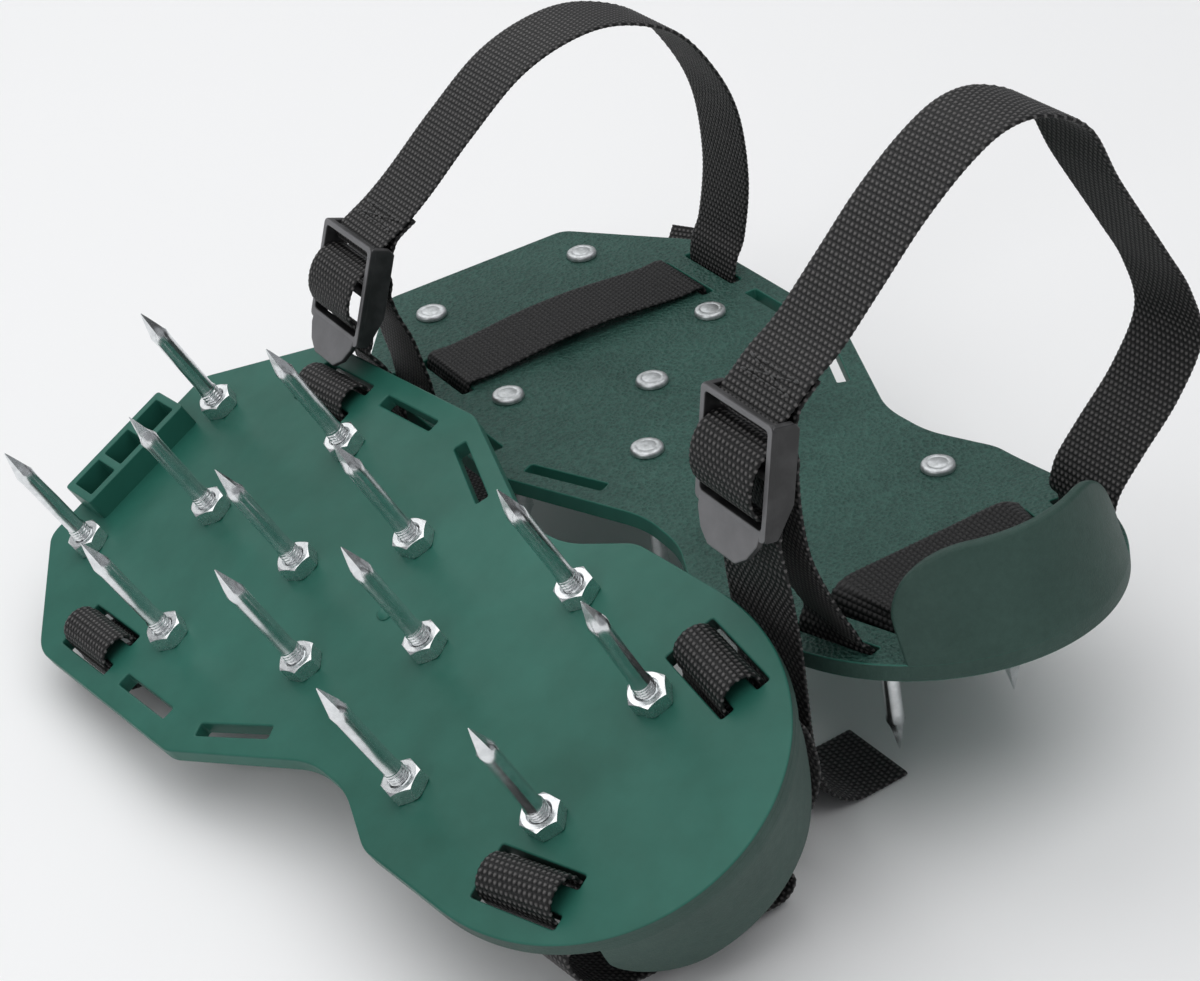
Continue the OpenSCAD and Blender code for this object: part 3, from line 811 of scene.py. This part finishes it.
# Between the runs of a standing strap: from the loop to the slots, from the slots to the leg, and from
# the buckle to the tail, with the turn as a third value. BEND_Z holds heights at its slots, passed on but
# unused.
LIFT = {"front": [(-57, 12)], "heel": [(-40.6, 14.5)]}
RISE = {"front": [(56, 12)], "heel": [(41.2, 14.5)]}
DROP = {"front": [(70.3, 24, 0), (67.9, 19, 0)], "heel": [(62.9, 48.4, 2), (62.5, 43, 4)]}
BEND_Z = {"front": (6, 18.5), "heel": (10.7, 19)}
# The places of five runs in a standing strap.
FAR_SLOTS, NEAR_SLOTS, LEG_RUN, WRAP_RUN, DROP_RUN = 3, 5, 7, 8, 9


def raised(route):
    """A route drawn for a flat sole, raised to the turned-up heel."""
    return [(x, y, z + HEEL_LIFT, turn) for x, y, z, turn in route]


def across_at(x, points, turn=0):
    """A route at one x from its (y, z) points."""
    return [(x, y, z, turn) for y, z in points]


def from_buckle(bar, lean, points):
    """Buckle coordinates (down the frame, out of its face) as (y, z)."""
    c, s = math.cos(math.radians(lean)), math.sin(math.radians(lean))
    return [(bar[0] + down * s + out * c, bar[1] - down * c + out * s) for down, out in points]


def front_dip(side):
    """The webbing's way down and up through the two front slots of one side."""
    return [(FRONT_X, side * (FRONT_SLOT_Y + y), z, 0) for y, z in BAR_DIP]


def heel_dip(side):
    """The same at the heel, where the slots are turned and the sole is raised."""
    lean = math.sin(math.radians(HEEL_SLOT_TURN))
    return raised([(HEEL_X - y * lean, side * (HEEL_SLOT_Y + y), z, side * HEEL_SLOT_TURN)
                   for y, z in BAR_DIP])


FRONT_BASE = [front_dip(-1), across_at(FRONT_X, [(-34, 7.0), (-12, 8.8), (0, 9.1), (12, 8.8), (34, 7.0)]),
              front_dip(1)[::-1]]
HEEL_BASE = [heel_dip(-1),
             raised(across_at(HEEL_X + 3, [(-25, 9.0), (-12, 9.1), (0, 9.1), (12, 9.1), (25, 9.0)])),
             heel_dip(1)[::-1]]


def catmull(a, b, c, d, t):
    """A point on the smooth curve from b to c, with a and d before and after."""
    return [0.5 * (2 * q + (r - p) * t + (2 * p - 5 * q + 4 * r - s) * t * t
                   + (3 * q - 3 * r + s - p) * t ** 3)
            for p, q, r, s in zip(a, b, c, d)]


class Strap:
    """One length of webbing along its whole route, which is then cut into pieces."""

    def __init__(self, *runs):
        points = [p for run in runs for p in run]
        self.marks = [sum(len(run) for run in runs[:i]) for i in range(len(runs))]
        fine = 24
        samples = []
        for i in range(len(points) - 1):
            a, b = points[max(i - 1, 0)], points[i]
            c, d = points[i + 1], points[min(i + 2, len(points) - 1)]
            samples += [catmull(a, b, c, d, k / fine) for k in range(fine)]
        samples.append(list(points[-1]))
        lengths = [0.0]
        for p, q in zip(samples, samples[1:]):
            lengths.append(lengths[-1] + math.dist(p[:3], q[:3]))
        self.at_point = [lengths[i * fine] for i in range(len(points))]
        rows = int(lengths[-1] / WEB_STEP)
        self.spots = []
        j = 0
        for k in range(rows + 1):
            want = k * WEB_STEP
            while lengths[j + 1] < want:
                j += 1
            share = (want - lengths[j]) / (lengths[j + 1] - lengths[j])
            self.spots.append([p + (q - p) * share for p, q in zip(samples[j], samples[j + 1])])

    def row_at(self, run, index):
        """The whole weave row nearest one point of the route."""
        point = self.marks[run] + index if index >= 0 else self.marks[run + 1] + index
        return 2 * round(self.at_point[point] / (2 * WEB_STEP))

    def frame_at(self, k):
        """One row's middle, the direction across the webbing and the one out of its face."""
        here = Vector(self.spots[k][:3])
        before = Vector(self.spots[max(k - 1, 0)][:3])
        after = Vector(self.spots[min(k + 1, len(self.spots) - 1)][:3])
        along = (after - before).normalized()
        turn = math.radians(self.spots[k][3])
        level = Vector((math.cos(turn), math.sin(turn), 0))
        across = (level - along * level.dot(along)).normalized()
        return here, across, along.cross(across)

    def piece(self, name, first, last):
        """The webbing between two rows as a mesh with woven relief, scalloped edges and cut ends."""
        half = WEB_W / 2
        body = WEB_T / 2 - BEAD_RISE
        columns = range(WEB_COLUMNS + 1)
        verts, uvs = [], []
        for k in range(first, last + 1):
            here, across, outward = self.frame_at(k)
            middle = k % 2 == 1
            row = k // 2
            bulge = SELVEDGE_OUT if middle else -SELVEDGE_IN
            edge_shift = {0: -bulge, WEB_COLUMNS: bulge}

            def add(side, off, u):
                verts.append(here + across * side + outward * off)
                uvs.append((u, k * WEB_STEP))

            def relief(i):
                if i in edge_shift:
                    return -SELVEDGE_SINK
                if not middle:
                    return -ROW_SINK
                return BEAD_RISE if i % 2 == (row + 1) % 2 else -BEAD_SINK

            def add_column(i, face):
                u = WEB_W * i / WEB_COLUMNS
                add(-half + u + edge_shift.get(i, 0), face * (body + relief(i)), u)

            for i in columns:
                add_column(i, 1)
            add(half + bulge + EDGE_ROUND, 0, WEB_W)
            for i in reversed(columns):
                add_column(i, -1)
            add(-half - bulge - EDGE_ROUND, 0, 0)
        ring = 2 * (WEB_COLUMNS + 1) + 2
        rows = last - first
        faces = []
        for r in range(rows):
            for i in range(ring):
                n = (i + 1) % ring
                faces.append((r * ring + i, r * ring + n, (r + 1) * ring + n, (r + 1) * ring + i))
        for r, flip in ((0, True), (rows, False)):
            top = [r * ring + i for i in columns]
            bottom = [r * ring + 2 * WEB_COLUMNS + 2 - i for i in columns]
            right, left = r * ring + WEB_COLUMNS + 1, r * ring + ring - 1
            quads = [(top[i], top[i + 1], bottom[i + 1], bottom[i]) for i in range(WEB_COLUMNS)]
            quads += [(top[-1], right, bottom[-1]), (left, top[0], bottom[0])]
            faces += [q[::-1] if flip else q for q in quads]
        mesh = bpy.data.meshes.new(name)
        mesh.from_pydata([tuple(v) for v in verts], [], faces)
        layer = mesh.uv_layers.new(name="UVMap")
        for loop in mesh.loops:
            layer.data[loop.index].uv = uvs[loop.vertex_index]
        bm = bmesh.new()
        bm.from_mesh(mesh)
        bmesh.ops.recalc_face_normals(bm, faces=bm.faces)
        bm.to_mesh(mesh)
        bm.free()
        mesh.polygons.foreach_set("use_smooth", [True] * len(mesh.polygons))
        mesh.set_sharp_from_angle(angle=math.radians(75))
        return mesh


def webbing_piece(strap, name, first, last, place, stands_for, body=None, bend=None, material=WEBBING):
    """A piece of one strap. bend is (body a, body b, start, end), the points in the shoe's frame; its
    contents are not used: when it is given, the piece goes to no body and its place is baked into its mesh.
    """
    obj = put(name, strap.piece(name, first, last), place, material, body, stands_for)
    if bend:
        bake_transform(obj)


def standing_strap(end, x, bar, lean, loop, base, leg, tail, inner_z, outer_z, tail_z):
    """The webbing of one standing strap, in six pieces.

    inner_z, outer_z and tail_z are heights in those pieces, handed on as their bend but not used; those
    pieces go to no body.
    """
    strap = Strap(
        across_at(x, from_buckle(bar, lean, EYE)[::-1]),
        across_at(x, loop[::-1]),
        across_at(x, LIFT[end]),
        *base,
        across_at(x, RISE[end]),
        across_at(x, leg),
        across_at(x, from_buckle(bar, lean, WRAP)),
        [(x, y, z, turn) for y, z, turn in DROP[end]],
        tail)
    cuts = [0, strap.row_at(FAR_SLOTS, 1) - 2, strap.row_at(NEAR_SLOTS, -2) + 2, strap.row_at(LEG_RUN, 1),
            strap.row_at(WRAP_RUN, BULGE), strap.row_at(DROP_RUN, 1), len(strap.spots) - 1]
    shoe, sway, lock = "standing_shoe", f"{end}_strap", f"{end}_buckle"
    pieces = [("loop", ["loop", "bends"], shoe, sway, BEND_Z[end]),
              ("base", ["base"], shoe, None, None),
              ("leg", ["leg"], shoe, sway, BEND_Z[end]),
              ("inner", ["wrap"], sway, lock, inner_z),
              ("outer", ["wrap"], lock, sway, outer_z),
              ("tail", ["tail"], sway, shoe, tail_z)]
    for (part, nodes, a, b, heights), first, last in zip(pieces, cuts, cuts[1:]):
        name = f"{end}_webbing_{part}"
        stands_for = [f"{end}_strap_{node}" for node in nodes]
        if heights:
            webbing_piece(strap, name, first, last, STANDING, stands_for,
                          bend=(a, b, *[(x, 0, z) for z in heights]))
        else:
            # The base piece takes the webbing copy darkened as painted shade.
            webbing_piece(strap, name, first, last, STANDING, stands_for, body=a, material=SHADED_WEBBING)


standing_strap("front", FRONT_X, FRONT_BAR, FRONT_LEAN, FRONT_LOOP, FRONT_BASE, FRONT_LEG, FRONT_TAIL,
               (33, 45.5), (31.5, 20), (18, 2))
standing_strap("heel", HEEL_X, HEEL_BAR, HEEL_LEAN, HEEL_LOOP, HEEL_BASE, HEEL_LEG, HEEL_TAIL,
               (55, 71.5), (55, 43), (40, 5))


def upturned_strap(end, x, bar, loop, base, rise, tail, inner, outer):
    """The webbing of one folded strap under the upturned shoe, in four pieces.

    inner and outer are (y, z) points in those pieces, handed on as their bend but not used; those pieces go
    to no body.
    """
    eye = across_at(x, from_buckle(bar, FOLDED_LEAN, FOLDED_EYE)[::-1])
    wrap = across_at(x, from_buckle(bar, FOLDED_LEAN, WRAP))
    runs = [eye, *loop, *base, rise]
    strap = Strap(*runs, wrap, tail)
    wrap_run = len(runs)
    cuts = [0, strap.row_at(wrap_run - 1, -2), strap.row_at(wrap_run, BULGE), strap.row_at(wrap_run + 1, 2),
            len(strap.spots) - 1]
    shoe, lock = "upturned_shoe", f"upturned_{end}_buckle"
    pieces = [("body", "", None), ("inner", "_wrap", (shoe, lock, inner)),
              ("outer", "_wrap", (lock, shoe, outer)), ("tail", "_tail", None)]
    for (part, node, pass_on), first, last in zip(pieces, cuts, cuts[1:]):
        name = f"upturned_{end}_webbing_{part}"
        stands_for = [f"upturned_{end}_strap{node}"]
        if pass_on:
            a, b, points = pass_on
            webbing_piece(strap, name, first, last, UPTURNED, stands_for,
                          bend=(a, b, *[(x, y, z) for y, z in points]))
        else:
            webbing_piece(strap, name, first, last, UPTURNED, stands_for, body=shoe)


upturned_strap(
    "front", FRONT_X, UPTURNED_FRONT_BAR,
    [across_at(FRONT_X, UPTURNED_FRONT_LOOP[::-1]),
     across_at(FRONT_X, [(-44, 17.2), (-53, 12.6), (-55.8, 9.4)])],
    FRONT_BASE,
    across_at(FRONT_X, [(55.2, 9.2), (52, 12.2), (45, 12.6), (34, 11.6), (27.3, 11.5)]),
    UPTURNED_FRONT_TAIL, ((38, 11.6), (29, 13)), ((44, 15.1), (52, 17)))
upturned_strap(
    "heel", HEEL_X, UPTURNED_HEEL_BAR,
    [raised(across_at(HEEL_X, UPTURNED_HEEL_LOOP[::-1])), raised(across_at(HEEL_X, [(-41, 9.5)], -9))],
    HEEL_BASE,
    raised([(HEEL_X, 40, 10.2, 9), (HEEL_X, 36, 13.0, 3),
            *across_at(HEEL_X, [(28, 12.6), (19, 11.8), (12.3, 11.5)])]),
    UPTURNED_HEEL_TAIL, ((23, 16.2), (14, 17.7)), ((29, 19.7), (37, 21.7)))


# ---------- buckles ----------
def upright(bm):
    """Turns a flat plate from XY into XZ, its thickness along Y."""
    bm.transform(Matrix(((1, 0, 0, 0), (0, 0, 1, 0), (0, 1, 0, 0), (0, 0, 0, 1))))
    return bm


def sideways(bm):
    """Turns a flat plate from XY into YZ, its thickness along X."""
    bm.transform(Matrix(((0, 0, 1, 0), (1, 0, 0, 0), (0, 1, 0, 0), (0, 0, 0, 1))))
    return bm


def bar(down, out, r, length):
    """A round bar across the buckle."""
    bm = bmesh.new()
    bmesh.ops.create_cone(bm, cap_ends=True, segments=28, radius1=r, radius2=r, depth=length)
    bm.transform(Matrix.Translation((0, out, -down)) @ Matrix.Rotation(math.pi / 2, 4, "Y"))
    return bm


def softened(points, r):
    """An outline with every corner rounded."""
    made = []
    for i, p in enumerate(points):
        made += rounded_corner(points[i - 1], p, points[(i + 1) % len(points)], r, steps=4)
    return made


def buckle_shape():
    """A one-piece ladder-lock: rim, deep side walls, two bars and a lift tab."""
    front, back = 3.2, -5
    rim_top, rim_low = 3, -BUCKLE_LEN
    rim_t = 2.0
    edge = 0.4
    window_middle, window_len = -11.95, 26.1
    window_w = BUCKLE_W - 3.9
    rim = upright(plate(rounded_box(0, (rim_top + rim_low) / 2, BUCKLE_W, rim_top - rim_low, 0, 1.7),
                        [rounded_box(0, window_middle, window_w, window_len, 0, 1.1)],
                        front - rim_t, front, edge))
    parts = [rim]
    wall_front, wall_top, wall_low = front - 0.3, rim_top - 0.3, rim_low + 0.2
    profile = softened([(wall_front, wall_top), (back + 2, wall_top), (back, 1), (back, rim_low + 9),
                        (-1, wall_low), (wall_front, wall_low)], 0.8)
    for side in (-1, 1):
        wall = sideways(plate(profile, [], -BUCKLE_WALL / 2, BUCKLE_WALL / 2, edge))
        bmesh.ops.translate(wall, verts=wall.verts, vec=(side * (BUCKLE_W - BUCKLE_WALL - 0.16) / 2, 0, 0))
        parts.append(wall)
    bar_len = BUCKLE_W - 2
    parts.append(bar(0.2, -2.6, 1.5, bar_len))
    parts.append(bar(14, -2.4, 1.6, bar_len))
    ledge_outline = rounded_box(0, rim_low + 1.6, BUCKLE_W - 3, 2.6, 0, 0.6)
    parts.append(upright(plate(ledge_outline, [], front - 3.4, front - 0.9, 0.3)))
    tab_half, tab_t, tab_dish, tab_turn = 13, 2, 0.35, 102
    tab_side = [(tab_half, 1.2), (12.5, -2.8), (9.8, -7.3), (5.8, -10.2)]
    outline = softened(tab_side + [(-x, y) for x, y in reversed(tab_side)], 1.6)
    tab = plate(outline, [], 0, tab_t, 0.7)
    for v in tab.verts:
        v.co.z += tab_dish * (v.co.x / tab_half) ** 2
    tab.transform(Matrix.Translation((0, 1, rim_low + 1)) @ Matrix.Rotation(math.radians(tab_turn), 4, "X")
                  @ Matrix.Diagonal((1, 1, -1, 1)))
    parts.append(tab)
    return parts


def united(parts, name):
    """The parts as one closed skin, whose faces store how squarely they look out of the front, as the mask
    of the buckle's painted highlight.
    """
    objs = []
    for part in parts:
        bmesh.ops.recalc_face_normals(part, faces=part.faces)
        mesh = bpy.data.meshes.new(name)
        part.to_mesh(mesh)
        part.free()
        objs.append(link(bpy.data.objects.new(name, mesh)))
    base = objs[0]
    for other in objs[1:]:
        cut = base.modifiers.new("join", "BOOLEAN")
        cut.operation = "UNION"
        cut.solver = "EXACT"
        cut.object = other
    mesh = bpy.data.meshes.new_from_object(base.evaluated_get(bpy.context.evaluated_depsgraph_get()))
    for obj in objs:
        bpy.data.objects.remove(obj)
    bm = bmesh.new()
    bm.from_mesh(mesh)
    bmesh.ops.remove_doubles(bm, verts=bm.verts, dist=0.01)
    mesh = finish_mesh(bm, name, 32)
    facing = mesh.attributes.new("painted_highlight_facing", "FLOAT", "FACE")
    for face in mesh.polygons:
        facing.data[face.index].value = min(1.0, max(0.0, (face.normal.y - 0.6) / 0.35))
    return mesh


BUCKLE = united(buckle_shape(), "buckle")
STITCH_HALF = (1.05, 0.24, 0.3)
OPEN_FACES = (0.75, -2.4)
FOLDED_FACES = (-0.75, 2.4)


def stitches(x, bar_at, lean, eye, faces):
    """Thread that sews the eye shut: two rows across the webbing and a cross between them, on both faces.

    They are set out on the line from the eye's second point to its first; `faces` are the distances of the
    two faces from that line.
    """
    bm = bmesh.new()
    start, stop = Vector(eye[1]), Vector(eye[0])
    up = (stop - start).normalized()
    normal = Vector((up.y, -up.x))
    low, high = 1.6, 5.8
    half = 10
    rows = [(low, low), (high, high), (low, high), (high, low)]
    frame_at = Matrix.Translation((x, bar_at[0], bar_at[1])) @ Matrix.Rotation(math.radians(lean), 4, "X")
    slope = math.atan2(up.y, -up.x)
    per_row = 8
    for first, last in rows:
        heading = math.atan2(last - first, 2 * half)
        for i in range(per_row):
            share = (i + 0.5) / per_row
            px, along = half * (2 * share - 1), first + (last - first) * share
            for face in faces:
                spot = start + up * along + normal * face
                one = bmesh.new()
                bmesh.ops.create_uvsphere(one, u_segments=10, v_segments=6, radius=1)
                one.transform(frame_at @ Matrix.Translation((px, spot.y, -spot.x))
                              @ Matrix.Rotation(-slope, 4, "X")
                              @ Matrix.Rotation(-heading, 4, "Y") @ Matrix.Diagonal((*STITCH_HALF, 1)))
                join(bm, one)
    return bm


for shoe, place, end, x, bar_at, lean, eye, faces in (
        ("standing", STANDING, "front", FRONT_X, FRONT_BAR, FRONT_LEAN, EYE, OPEN_FACES),
        ("standing", STANDING, "heel", HEEL_X, HEEL_BAR, HEEL_LEAN, EYE, OPEN_FACES),
        ("upturned", UPTURNED, "front", FRONT_X, UPTURNED_FRONT_BAR, FOLDED_LEAN, FOLDED_EYE, FOLDED_FACES),
        ("upturned", UPTURNED, "heel", HEEL_X, UPTURNED_HEEL_BAR, FOLDED_LEAN, FOLDED_EYE, FOLDED_FACES)):
    prefix = "" if shoe == "standing" else "upturned_"
    mesh = BUCKLE.copy()
    mesh.transform(Matrix.Translation((x, *bar_at)) @ Matrix.Rotation(math.radians(lean), 4, "X"))
    lock = put(f"{shoe}_{end}_ladder_lock", mesh, place, BUCKLE_BLACK, f"{prefix}{end}_buckle",
               [f"{prefix}{end}_buckle"])
    weighted(lock)
    sewn_to = f"{end}_strap" if shoe == "standing" else "upturned_shoe"
    name = f"{shoe}_{end}_stitching"
    put(name, finish_mesh(stitches(x, bar_at, lean, eye, faces), name), place, THREAD, sewn_to)
bpy.data.meshes.remove(BUCKLE)

# ---------- floor, light and camera ----------
# Measures from here on are metres.
FLOOR_HALF = 4
FLOOR_GAP = 0.0003
floor_bm = bmesh.new()
bmesh.ops.create_grid(floor_bm, x_segments=8, y_segments=8, size=FLOOR_HALF)
floor = link(bpy.data.objects.new("floor", finish_mesh(floor_bm, "floor")))
floor.data.materials.append(pale_floor())
floor.location.z = -FLOOR_GAP


def soft_light(name, spot, size, power):
    """A white soft box, aimed at the middle of the pair."""
    lamp = bpy.data.lights.new(name, "AREA")
    lamp.shape = "RECTANGLE"
    lamp.size, lamp.size_y = size
    lamp.energy = power
    obj = link(bpy.data.objects.new(name, lamp))
    obj.location = spot
    obj.rotation_mode = "QUATERNION"
    obj.rotation_quaternion = (PAIR_MIDDLE - Vector(spot)).to_track_quat("-Z", "Y")


PAIR_MIDDLE = Vector((0, 0.02, 0.05))
soft_light("overhead", (0.05, 0.0, 1.35), (2.2, 2.2), 18.5)
soft_light("back", (1.15, -0.15, 0.85), (1.1, 0.8), 2.6)
soft_light("window", (-0.45, 1.15, 0.7), (0.8, 0.6), 3.4)

world = bpy.data.worlds.new("studio")
bpy.context.scene.world = world
world.use_nodes = True
sky = world.node_tree.nodes["Background"].inputs
sky["Color"].default_value = (0.94, 0.96, 1.0, 1)
sky["Strength"].default_value = 0.32
bpy.context.scene.view_settings.view_transform = "Standard"

# The camera's place, in millimetres, and its axes are in the standing shoe's frame.
CAMERA_AT = Vector((-597.2, 347.0, 405.1))
CAMERA_RIGHT = Vector((-0.5356, -0.8369, -0.1130))
CAMERA_UP = Vector((0.4011, -0.3699, 0.8380))
camera = link(bpy.data.objects.new("camera", bpy.data.cameras.new("camera")))
camera.data.sensor_width = 36
camera.data.lens = 79.3
backward = CAMERA_RIGHT.cross(CAMERA_UP).normalized()
upward = backward.cross(CAMERA_RIGHT).normalized()
axes = Matrix((CAMERA_RIGHT, upward, backward)).transposed().to_4x4()
camera.matrix_world = STANDING @ Matrix.Translation(CAMERA_AT * MM) @ axes
camera.data.clip_start, camera.data.clip_end = 0.05, 50
bpy.context.scene.camera = camera
